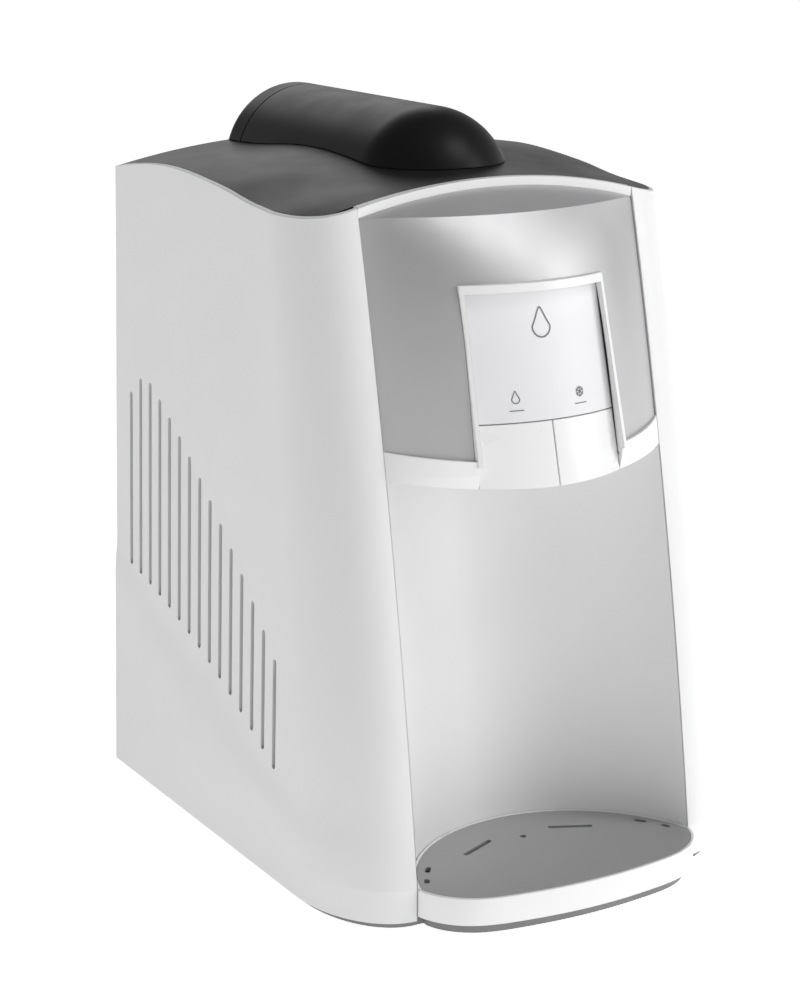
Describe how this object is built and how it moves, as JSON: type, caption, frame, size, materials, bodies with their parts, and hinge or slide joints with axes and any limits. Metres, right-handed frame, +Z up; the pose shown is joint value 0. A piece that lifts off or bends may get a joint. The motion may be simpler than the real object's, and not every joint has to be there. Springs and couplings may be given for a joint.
{
  "type": "countertop water dispenser",
  "caption": "Upright countertop water dispenser with vented side casings, bulging head with push keys, concave glass bay, drip tray and a capsule filter cover on its lid.",
  "frame": {"origin": "middle of the base on the surface it stands on", "axes": "+X to the right of a person facing the keys, +Y from the keys to the rear cover, +Z up"},
  "size_m": [0.272, 0.365, 0.4405],
  "materials": {
    "casing_white": "satin",
    "band_white": "satin",
    "head_silver": "metallic satin",
    "label_white": "printed matt film",
    "lid_dark": "semi-gloss",
    "cover_dark": "satin",
    "grille_grey": "fine texture",
    "pan_dark": "matt",
    "rubber_black": "matt",
    "moulded_grey": "matt",
    "cartridge_blue": "satin",
    "water_tube": "matt",
    "copper": "drawn",
    "steel": "brushed",
    "black_paint": "satin",
    "foam_white": "beaded foam",
    "board_green": "matt"
  },
  "bodies": {
    "housing": {"base_pan": "pan_dark", "capillary_line": "copper", "cavity_liner": "casing_white", "cold_line": "water_tube", "cold_tank": "steel", "compressor": "black_paint", "compressor_bolts": "steel", "compressor_grommets": "rubber_black", "condenser": "black_paint", "condenser_brackets": "steel", "control_board": "board_green", "discharge_line": "copper", "display_carrier": "moulded_grey", "drain_plug": "pan_dark", "evaporator_coil": "copper", "filter_cradle": "moulded_grey", "filter_drier": "copper", "filter_head": "moulded_grey", "filter_line": "water_tube", "front_arch": "casing_white", "front_bezel": "band_white", "head_floor": "casing_white", "head_panel": "head_silver", "inlet_fitting": "moulded_grey", "inlet_line": "water_tube", "insulation_front": "foam_white", "insulation_rear": "foam_white", "key_hinge_pin": "steel", "label_panel": "label_white", "left_casing": "casing_white", "natural_line": "water_tube", "power_gland": "pan_dark", "rear_cover": "casing_white", "rear_screws": "steel", "right_casing": "casing_white", "rubber_feet": "rubber_black", "spout": "band_white", "starter_box": "pan_dark", "suction_line": "copper", "tank_bracket": "steel", "tank_lid": "moulded_grey", "thermostat": "moulded_grey", "top_lid": "lid_dark", "valve_body_cold": "moulded_grey", "valve_body_natural": "moulded_grey", "valve_springs": "steel"},
    "key_natural_body": {"key_natural": "band_white"},
    "key_cold_body": {"key_cold": "band_white"},
    "stem_natural_body": {"valve_stem_natural": "moulded_grey"},
    "stem_cold_body": {"valve_stem_cold": "moulded_grey"},
    "drip_tray_body": {"drip_tray": "band_white"},
    "drip_grille_body": {"drip_grille": "grille_grey"},
    "filter_cover_body": {"filter_cover": "cover_dark"},
    "filter_cartridge_body": {"filter_cartridge": "cartridge_blue", "cartridge_seals": "rubber_black"},
    "thermostat_knob_body": {"thermostat_knob": "moulded_grey"}
  },
  "joints": [
    {"name": "key_natural_press", "type": "hinge", "parent": "housing", "child": "key_natural_body", "pos_m": [0, -0.11899, 0.277], "axis": [1, 0, 0], "range_deg": [0, 5], "stiffness_Nm_per_rad": 0.2, "springref_deg": -5.73},
    {"name": "key_cold_press", "type": "hinge", "parent": "housing", "child": "key_cold_body", "pos_m": [0, -0.11899, 0.277], "axis": [1, 0, 0], "range_deg": [0, 5], "stiffness_Nm_per_rad": 0.2, "springref_deg": -5.73},
    {"name": "stem_natural_slide", "type": "slide", "parent": "housing", "child": "stem_natural_body", "axis": [0, 1, 0], "range_m": [0, 0.0016]},
    {"name": "stem_cold_slide", "type": "slide", "parent": "housing", "child": "stem_cold_body", "axis": [0, 1, 0], "range_m": [0, 0.0016]},
    {"name": "drip_tray_pull", "type": "slide", "parent": "housing", "child": "drip_tray_body", "axis": [0, -1, 0], "range_m": [0, 0.12]},
    {"name": "drip_grille_lift", "type": "slide", "parent": "drip_tray_body", "child": "drip_grille_body", "axis": [0, 0, 1], "range_m": [0, 0.04]},
    {"name": "filter_cover_lift", "type": "slide", "parent": "housing", "child": "filter_cover_body", "axis": [0, 0, 1], "range_m": [0, 0.07]},
    {"name": "filter_cartridge_turn", "type": "hinge", "parent": "housing", "child": "filter_cartridge_body", "pos_m": [0, 0.1335, 0.3918], "axis": [0, 1, 0], "range_deg": [0, 90]},
    {"name": "thermostat_knob_turn", "type": "hinge", "parent": "housing", "child": "thermostat_knob_body", "pos_m": [0.0742, 0.18, 0.05], "axis": [0, -1, 0], "range_deg": [0, 270]}
  ],
  "couplings": [
    {"joint": "stem_natural_slide", "follows": "key_natural_press", "m_per_rad": 0.017},
    {"joint": "stem_cold_slide", "follows": "key_cold_press", "m_per_rad": 0.017}
  ]
}
